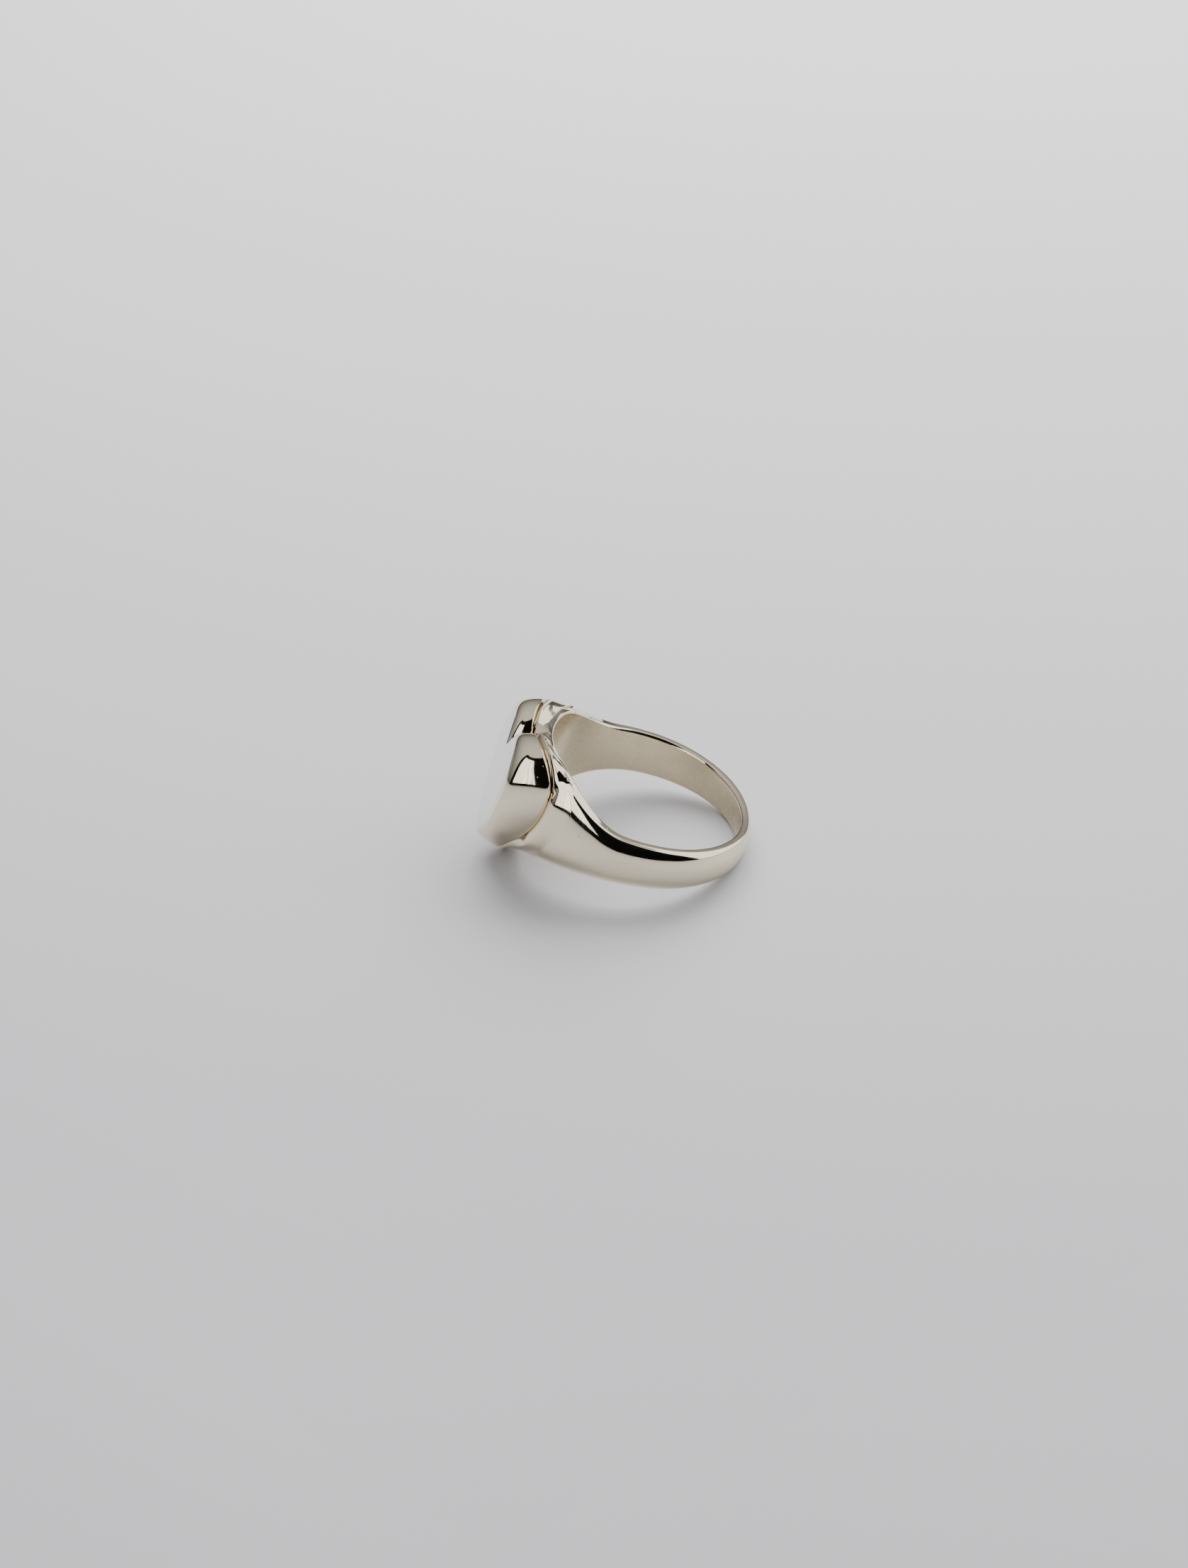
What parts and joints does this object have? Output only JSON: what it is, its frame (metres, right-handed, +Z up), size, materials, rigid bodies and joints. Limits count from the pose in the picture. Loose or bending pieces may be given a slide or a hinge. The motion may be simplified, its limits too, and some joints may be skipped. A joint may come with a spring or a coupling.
{
  "type": "heart signet ring",
  "caption": "Polished silver signet ring with a puffed heart head, a flat heart seal face, a grooved collar and tapered shoulders on a slim domed shank.",
  "frame": {"origin": "middle of the finger hole, on its axis at the mid-width of the shank", "axes": "+Z up as the ring lies on a table, -Y towards the heart head, +X across the head; the finger hole's axis leans 16.0 degrees from +Z towards +Y"},
  "size_m": [0.0202, 0.023, 0.0126],
  "materials": {
    "silver": "polished sterling silver, softer satin inside the finger hole",
    "head_polish": "mirror polished sterling silver",
    "seal_polish": "mirror polished sterling silver with fine hairlines, not engraved"
  },
  "bodies": {
    "root": {"shank": "silver", "left_shoulder": "silver", "right_shoulder": "silver", "heart_collar": "silver", "heart_pillow": "head_polish", "signet_table": "seal_polish"}
  },
  "joints": []
}
